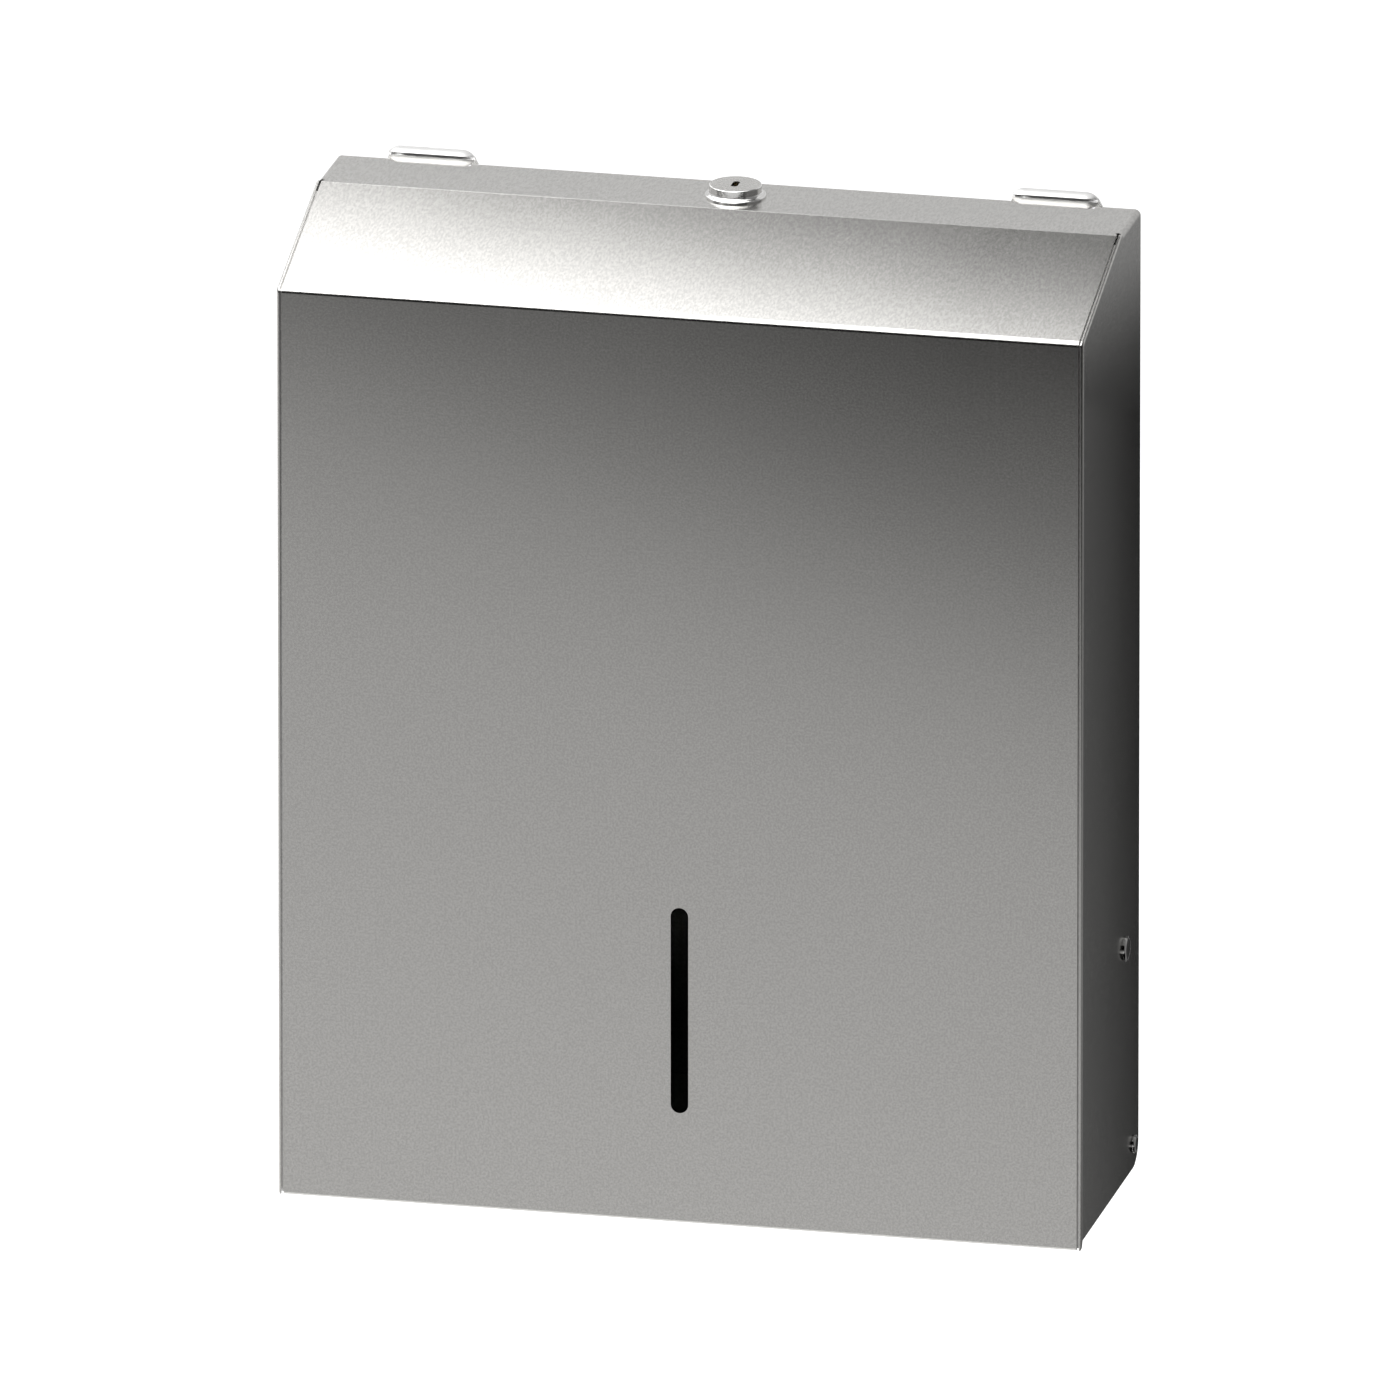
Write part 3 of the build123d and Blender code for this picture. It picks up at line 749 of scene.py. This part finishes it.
class DISPENSER_OT_weld_marks(bpy.types.Operator):
    """Add the spot welds' marks on the tray, the lugs' tabs, the strike and the seam angles"""

    bl_idname = "dispenser.weld_marks"
    bl_label = "Add Weld Marks"

    def execute(self, context):
        details = context.scene.dispenser_details
        size = (details.weld_diameter, details.weld_height)
        steel = pressed_metal(
            "weld_steel",
            (0.4, 0.37, 0.33),
            roughness=0.36,
            patch_scale=900.0,
            patch_low=0.7,
            patch_high=1.15,
        )
        forward, rearward = Vector((0, -1, 0)), Vector((0, 1, 0))

        frame_marks = bmesh.new()
        low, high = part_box("towel_tray")
        for place in range(details.tray_welds):
            share = (place + 0.5) / details.tray_welds
            across = low.x + share * (high.x - low.x)
            spot = Vector((across, high.y - TRAY_SHEET, high.z - TRAY_WELD_DROP))
            add_weld_mark(frame_marks, spot, forward, *size)
        for lug in ("left_top_lug", "right_top_lug"):
            low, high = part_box(lug)
            middle = (low.x + high.x) / 2
            for aside in LUG_WELD_OFFSETS:
                spot = Vector((middle + aside, high.y - LUG_SHEET, low.z + LUG_WELD_RISE))
                add_weld_mark(frame_marks, spot, forward, *size)
        low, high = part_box("lock_strike")
        for rise in STRIKE_WELD_RISES:
            spot = Vector(((low.x + high.x) / 2, high.y - STRIKE_SHEET, low.z + rise))
            add_weld_mark(frame_marks, spot, forward, *size)
        new_piece("frame_weld_marks", frame_marks, steel, "wall_frame")

        cover_marks = bmesh.new()
        for angle, inward in (
            ("left_seam_angle", Vector((1, 0, 0))),
            ("right_seam_angle", Vector((-1, 0, 0))),
        ):
            low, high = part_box(angle)
            outer_x = low.x if inward.x > 0 else high.x
            inset_x = outer_x + ANGLE_WELD_INSET * inward.x
            face_x = outer_x + ANGLE_SHEET * inward.x
            for place in range(details.angle_welds):
                share = (place + 0.5) / details.angle_welds
                height = low.z + share * ANGLE_WELD_SHARE * (high.z - low.z)
                front = Vector((inset_x, low.y + ANGLE_SHEET, height))
                add_weld_mark(cover_marks, front, rearward, *size)
                side = Vector((face_x, low.y + ANGLE_WELD_INSET, height + ANGLE_WELD_STAGGER))
                add_weld_mark(cover_marks, side, inward, *size)
        new_piece("cover_weld_marks", cover_marks, steel, "cover")
        return {"FINISHED"}


class DISPENSER_OT_lock_thread(bpy.types.Operator):
    """Wind the thread round the lock's body below its nut"""

    bl_idname = "dispenser.lock_thread"
    bl_label = "Add Lock Thread"

    def execute(self, context):
        details = context.scene.dispenser_details
        low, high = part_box("lock_housing")
        nut_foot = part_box("lock_nut")[0].z
        centre = (low + high) / 2
        radius, pitch = details.thread_diameter / 2, details.thread_pitch
        start, end = low.z + pitch / 2, nut_foot - pitch / 2
        if end <= start:
            raise RuntimeError("The lock's body ends inside its nut, so no thread fits")
        thread = bmesh.new()
        root = -0.0001
        profile = (
            (root, -0.44),
            (details.thread_depth, -0.1),
            (details.thread_depth, 0.1),
            (root, 0.44),
        )
        points = [
            thread.verts.new((centre.x + radius + out, centre.y, start + rise * pitch))
            for out, rise in profile
        ]
        edges = [thread.edges.new(pair) for pair in zip(points, points[1:] + points[:1])]
        turns = (end - start) / pitch
        steps = round(THREAD_STEPS * turns)
        bmesh.ops.spin(
            thread,
            geom=points + edges,
            cent=centre,
            axis=(0, 0, 1),
            dvec=(0, 0, (end - start) / steps),
            angle=turns * math.tau,
            steps=steps,
        )
        open_ends = [edge for edge in thread.edges if edge.is_boundary]
        bmesh.ops.holes_fill(thread, edges=open_ends)
        steel = bpy.data.materials["lock_steel"]
        new_piece("lock_thread", thread, steel, "cover")
        return {"FINISHED"}


# Studio

MIRRORED_SKY = 0.8
FLOOR_WIDTH = 40
FLOOR_LIFT = 0.6

# Cards of the large screens: name, direction, reach along it, steps of the glow, strength
CARDS = (
    (
        "front_card",
        (0.26, 0, 1),
        (0.06, -0.37),
        ((0.1, 0.0), (0.28, 0.18), (0.5, 0.59), (0.62, 0.67), (1.0, 0.77)),
        1.0,
    ),
    (
        "top_card",
        (0.175, 1, 0),
        (0.06, 0.2),
        (
            (0.0, 1.0),
            (0.21, 0.78),
            (0.36, 0.52),
            (0.46, 0.3),
            (0.57, 0.15),
            (0.68, 0.06),
            (0.8, 0.03),
            (1.0, 0.02),
        ),
        4.0,
    ),
    ("rear_card", (1, 0, 0), (-0.32, 0.0), ((0.0, 1.0), (1.0, 0.35)), 2.6),
    (
        "side_card",
        (1, 0, -0.03),
        (0.1535, 0.2635),
        ((0.0, 0.0), (0.14, 0.016), (0.3, 0.105), (1.0, 0.36)),
        1.0,
    ),
    (
        "side_top_card",
        (0.8, 0, 1),
        (0.19, 0.35),
        ((0.0, 0.02), (0.16, 0.05), (0.26, 0.14), (0.36, 0.28), (1.0, 0.75)),
        1.0,
    ),
    ("right_card", (0, 0, 1), (-0.4, 0.9), ((0.0, 0.3), (1.0, 0.22)), 1.0),
    ("dark_card", (0, 0, 1), (-1, 1), ((0.0, 0.0), (1.0, 0.0)), 1.0),
)

# Screens: name, width, height, centre, the point that they face, card
SCREENS = (
    ("front_screen", 5, 3, (0, -0.6, 1.05), (0, 0, 1.05), "front_card"),
    ("top_screen", 0.64, 0.85, (-0.18, -0.175, 0.45), (-0.18, -0.175, 0), "top_card"),
    ("rear_screen", 1.6, 0.7, (0, 0.6, 0.87), (0, 0, 0.87), "rear_card"),
    ("side_screen", 0.8, 0.5, (0.54, 0.12, -0.19), (0.54, -1, -0.19), "side_card"),
    ("side_top_screen", 0.8, 0.156, (0.54, 0.12, 0.138), (0.54, -1, 0.138), "side_top_card"),
    ("right_screen", 2.4, 1.8, (0.9, -0.5, 0.3), (0, -0.5, 0.3), "right_card"),
    ("right_top_screen", 0.72, 0.85, (0.5, -0.175, 0.46), (0.5, -0.175, 0), "right_card"),
    ("floor_screen", 0.76, 0.72, (0.52, -0.24, -0.42), (0.52, -0.24, 1), "dark_card"),
    # A small glowing card in front of the lock, seen only in reflections: a painted reflection on
    # the side of its head
    ("lock_screen", 0.064, 0.01, (0.002, -0.05, 0.165), (0.002, 1, 0.165), "lock_painted_reflection_card"),
    # A dark card across the outlet, seen only in reflections: painted shade that keeps the inside
    # dark
    ("outlet_painted_shade", 0.264, 0.084, (0, -0.0445, -0.1622), (0, -0.0445, 1), "dark_card"),
)

# Screens inside and above each lug: a dark card in each hollow is painted shade, and a glowing card
# above paints a highlight on its band
PAINTED_SHADE_SIZE = (0.022, 0.0036)
ROOF_SIZE = (0.042, 0.025)
ROOF_ASIDE = -0.003
ROOF_Y = -0.0085
ROOF_RISE = 0.0055


def clear_where(tree, surface, mask):
    """The shader, made clear where a mask is 1."""
    mix = node(tree, "ShaderNodeMixShader", {"Fac": mask})
    clear = node(tree, "ShaderNodeBsdfTransparent")
    tree.links.new(surface, mix.inputs[1])
    tree.links.new(clear.outputs["BSDF"], mix.inputs[2])
    return mix.outputs["Shader"]


def graded_card(name, along, reach, stops, strength, farthest=100.0):
    """A card whose glow changes along a direction, unseen by what is too far away."""
    material = bpy.data.materials.new(name)
    material.use_nodes = True
    tree = material.node_tree
    tree.nodes.clear()
    place = node(tree, "ShaderNodeTexCoord")
    distance = node(tree, "ShaderNodeVectorMath", operation="DOT_PRODUCT")
    tree.links.new(place.outputs["Object"], distance.inputs[0])
    distance.inputs[1].default_value = along
    share = node(tree, "ShaderNodeMapRange", {"Value": distance.outputs["Value"]})
    share.inputs["From Min"].default_value, share.inputs["From Max"].default_value = reach
    ramp = node(tree, "ShaderNodeValToRGB", {"Fac": share.outputs["Result"]})
    ramp.color_ramp.interpolation = "EASE"
    while len(ramp.color_ramp.elements) < len(stops):
        ramp.color_ramp.elements.new(0.5)
    for element, (position, glow) in zip(ramp.color_ramp.elements, stops):
        element.position = position
        element.color = (glow, glow, glow, 1)
    card = node(tree, "ShaderNodeEmission", {"Color": ramp.outputs["Color"]}, Strength=strength)
    path = node(tree, "ShaderNodeLightPath")
    far = math_node(tree, "GREATER_THAN", path.outputs["Ray Length"], farthest)
    surface = clear_where(tree, card.outputs["Emission"], far)
    node(tree, "ShaderNodeOutputMaterial", {"Surface": surface})
    return material


def one_sided_card(name, glow, nearest=0.0):
    """A card that glows evenly on its front, unseen from behind and by what is too near."""
    material = bpy.data.materials.new(name)
    material.use_nodes = True
    tree = material.node_tree
    tree.nodes.clear()
    side = node(tree, "ShaderNodeNewGeometry")
    path = node(tree, "ShaderNodeLightPath")
    near = math_node(tree, "LESS_THAN", path.outputs["Ray Length"], nearest)
    unseen = math_node(tree, "MAXIMUM", side.outputs["Backfacing"], near)
    card = node(tree, "ShaderNodeEmission", Strength=glow)
    surface = clear_where(tree, card.outputs["Emission"], unseen)
    node(tree, "ShaderNodeOutputMaterial", {"Surface": surface})
    return material


def seen_rays(tree):
    """1 for camera, glossy and transmission rays, otherwise 0."""
    path = node(tree, "ShaderNodeLightPath")
    camera_or_gloss = math_node(
        tree, "MAXIMUM", path.outputs["Is Camera Ray"], path.outputs["Is Glossy Ray"]
    )
    return math_node(tree, "MAXIMUM", camera_or_gloss, path.outputs["Is Transmission Ray"])


def stage_plane(name, width, height, place, material):
    """A flat rectangle that belongs to the stage."""
    shape = bmesh.new()
    bmesh.ops.create_grid(shape, x_segments=1, y_segments=1, size=0.5)
    bmesh.ops.scale(shape, vec=(width, height, 1), verts=shape.verts)
    bmesh.ops.transform(shape, matrix=place, verts=shape.verts)
    mesh = bpy.data.meshes.new(name)
    shape.to_mesh(mesh)
    shape.free()
    mesh.materials.append(material)
    plane = bpy.data.objects.new(name, mesh)
    bpy.context.scene.collection.objects.link(plane)
    return plane


def mirrored_only(plane):
    """Let only reflections see a screen."""
    plane.visible_camera = False
    plane.visible_diffuse = False
    plane.visible_transmission = False
    plane.visible_volume_scatter = False
    plane.visible_shadow = False


def facing(centre, target):
    """Matrix of a plane at centre whose normal points at target."""
    turn = (target - centre).to_track_quat("Z", "Y").to_matrix().to_4x4()
    return Matrix.Translation(centre) @ turn


def add_lamp(name, centre, target, width, height, power):
    """A rectangular soft lamp that the camera doesn't see."""
    lamp = bpy.data.lights.new(name, "AREA")
    lamp.shape = "RECTANGLE"
    lamp.size, lamp.size_y = width, height
    lamp.energy = power
    holder = bpy.data.objects.new(name, lamp)
    holder.location = centre
    toward = Vector(target) - Vector(centre)
    holder.rotation_euler = toward.to_track_quat("-Z", "Y").to_euler()
    holder.visible_camera = False
    bpy.context.scene.collection.objects.link(holder)


def set_world(scene, ambient):
    """A white world that lights the scene more softly than the camera and reflections see it."""
    world = bpy.data.worlds.new("studio")
    scene.world = world
    world.use_nodes = True
    tree = world.node_tree
    sky = tree.nodes["Background"]
    sky.inputs["Color"].default_value = (1, 1, 1, 1)
    path = node(tree, "ShaderNodeLightPath")
    mirrored = math_node(
        tree, "MAXIMUM", path.outputs["Is Glossy Ray"], path.outputs["Is Transmission Ray"]
    )
    soft = ranged(tree, mirrored, low=ambient, high=MIRRORED_SKY)
    strength = math_node(tree, "MAXIMUM", soft, path.outputs["Is Camera Ray"])
    tree.links.new(strength, sky.inputs["Strength"])


def add_floor(stage):
    """A pale floor that takes the dispenser's shadow and is clear from below."""
    paint, tree, shader = new_material("pale_floor", Roughness=0.9)
    shader.inputs["Base Color"].default_value = (*stage.floor_colour, 1)
    shader.inputs["Specular IOR Level"].default_value = 0
    shader.inputs["Emission Color"].default_value = (1, 1, 1, 1)
    lift = ranged(tree, seen_rays(tree), low=0.0, high=FLOOR_LIFT)
    tree.links.new(lift, shader.inputs["Emission Strength"])
    side = node(tree, "ShaderNodeNewGeometry")
    from_above = clear_where(tree, shader.outputs["BSDF"], side.outputs["Backfacing"])
    tree.links.new(from_above, tree.nodes["Material Output"].inputs["Surface"])
    place = Matrix.Translation((0, 0, cad_low.z - stage.floor_drop))
    stage_plane("floor", FLOOR_WIDTH, FLOOR_WIDTH, place, paint)


def add_screens():
    """Stand the large screens round the dispenser, the dark one across its outlet that paints shade
    inside, and the lock's small one that paints a reflection on its head.
    """
    cards = {name: graded_card(name, *card) for name, *card in CARDS}
    # The lock's glowing card, which paints a reflection on the side of its head
    cards["lock_painted_reflection_card"] = one_sided_card("lock_painted_reflection_card", glow=0.8, nearest=0.02)
    for name, width, height, centre, target, card in SCREENS:
        place = facing(Vector(centre), Vector(target))
        mirrored_only(stage_plane(name, width, height, place, cards[card]))


def add_lug_screens(elevation):
    """Paint shade into the lugs' hollows and a highlight on their bands with cards seen only in
    reflections, and keep the lugs out of reflections.
    """
    # Dark cards seen only in reflections, one in each lug's hollow: painted shade
    painted_shade_card = one_sided_card("painted_shade_card", glow=0.0)
    # A glowing card above each lug, seen only by reflections up to 11 mm long: a painted highlight
    # on the lug's band
    painted_highlight_card = graded_card(
        "painted_highlight_card",
        along=(0, 1, 0),
        reach=(-0.021, 0.004),
        stops=((0.0, 1.0), (0.7, 0.9), (1.0, 0.7)),
        strength=1.1,
        farthest=0.011,
    )
    into_slit = Vector((0, math.cos(elevation), -math.sin(elevation)))
    for lug in ("left_top_lug", "right_top_lug"):
        low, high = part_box(lug)
        hollow = Vector(((low.x + high.x) / 2, low.y + LUG_RADIUS, high.z - LUG_RADIUS))
        # In the hollow, the dark card that paints shade there
        place = facing(hollow, hollow + into_slit)
        mirrored_only(stage_plane(f"{lug}_screen", *PAINTED_SHADE_SIZE, place, painted_shade_card))
        # Above it, the glowing card that paints a highlight on the lug's band
        above = Vector((hollow.x + ROOF_ASIDE, ROOF_Y, high.z + ROOF_RISE))
        place = facing(above, Vector((above.x, above.y, 0)))
        mirrored_only(stage_plane(f"{lug}_roof", *ROOF_SIZE, place, painted_highlight_card))
        # The lugs are kept out of reflections, so the strip in front of them shows no mirror image
        # of them
        nodes[lug].visible_glossy = False


def add_camera(scene, stage):
    """The camera, far off behind a long lens for a nearly parallel view."""
    camera = bpy.data.cameras.new("camera")
    camera.lens = stage.lens
    around, above = stage.azimuth, stage.elevation
    back = Vector(
        (
            math.sin(around) * math.cos(above),
            -math.cos(around) * math.cos(above),
            math.sin(above),
        )
    )
    distance = stage.frame_width * camera.lens / camera.sensor_width
    camera.clip_end = 2 * distance + FLOOR_WIDTH / 2
    holder = bpy.data.objects.new("camera", camera)
    holder.location = Vector(stage.aim) + distance * back
    holder.rotation_euler = (-back).to_track_quat("-Z", "Y").to_euler()
    scene.collection.objects.link(holder)
    scene.camera = holder


class DISPENSER_OT_stage(bpy.types.Operator):
    """Set the camera, the pale floor, the lamp and the screens that the steel mirrors"""

    bl_idname = "dispenser.stage"
    bl_label = "Set Stage"

    def execute(self, context):
        scene = context.scene
        stage = scene.dispenser_stage
        scene.view_settings.view_transform = "Standard"
        set_world(scene, stage.ambient)
        add_floor(stage)
        add_screens()
        add_lug_screens(stage.elevation)
        add_lamp(
            "key_lamp",
            centre=(-1.6, -1.2, 2.2),
            target=(0, 0, 0),
            width=1.6,
            height=1.6,
            power=stage.key_power,
        )
        add_camera(scene, stage)
        return {"FINISHED"}


# Sidebar and registration


class DISPENSER_PT_panel(bpy.types.Panel):
    """Lists the dispenser's settings and steps"""

    bl_label = "Towel Dispenser"
    bl_idname = "DISPENSER_PT_panel"
    bl_space_type = "VIEW_3D"
    bl_region_type = "UI"
    bl_category = "Dispenser"

    def draw(self, context):
        scene = context.scene
        for settings in (scene.dispenser_finish, scene.dispenser_details, scene.dispenser_stage):
            box = self.layout.box()
            for name in settings.__annotations__:
                box.prop(settings, name)
        for step in STEPS:
            self.layout.operator(step.bl_idname)


SETTINGS = (
    ("dispenser_finish", DispenserFinish),
    ("dispenser_details", DispenserDetails),
    ("dispenser_stage", DispenserStage),
)
STEPS = (
    DISPENSER_OT_cover,
    DISPENSER_OT_wall_frame,
    DISPENSER_OT_polished,
    DISPENSER_OT_rivets,
    DISPENSER_OT_lock_parts,
    DISPENSER_OT_nylon,
    DISPENSER_OT_weld_marks,
    DISPENSER_OT_lock_thread,
    DISPENSER_OT_stage,
)


def register():
    for name, group in SETTINGS:
        bpy.utils.register_class(group)
        setattr(bpy.types.Scene, name, PointerProperty(type=group))
    for step in STEPS:
        bpy.utils.register_class(step)
    bpy.utils.register_class(DISPENSER_PT_panel)


def unregister():
    bpy.utils.unregister_class(DISPENSER_PT_panel)
    for step in reversed(STEPS):
        bpy.utils.unregister_class(step)
    for name, group in reversed(SETTINGS):
        delattr(bpy.types.Scene, name)
        bpy.utils.unregister_class(group)


def main():
    register()
    bpy.ops.dispenser.cover()
    bpy.ops.dispenser.wall_frame()
    bpy.ops.dispenser.polished()
    bpy.ops.dispenser.rivets()
    bpy.ops.dispenser.lock_parts()
    bpy.ops.dispenser.nylon()
    bpy.ops.dispenser.weld_marks()
    bpy.ops.dispenser.lock_thread()
    bpy.ops.dispenser.stage()


if __name__ == "__main__":
    main()
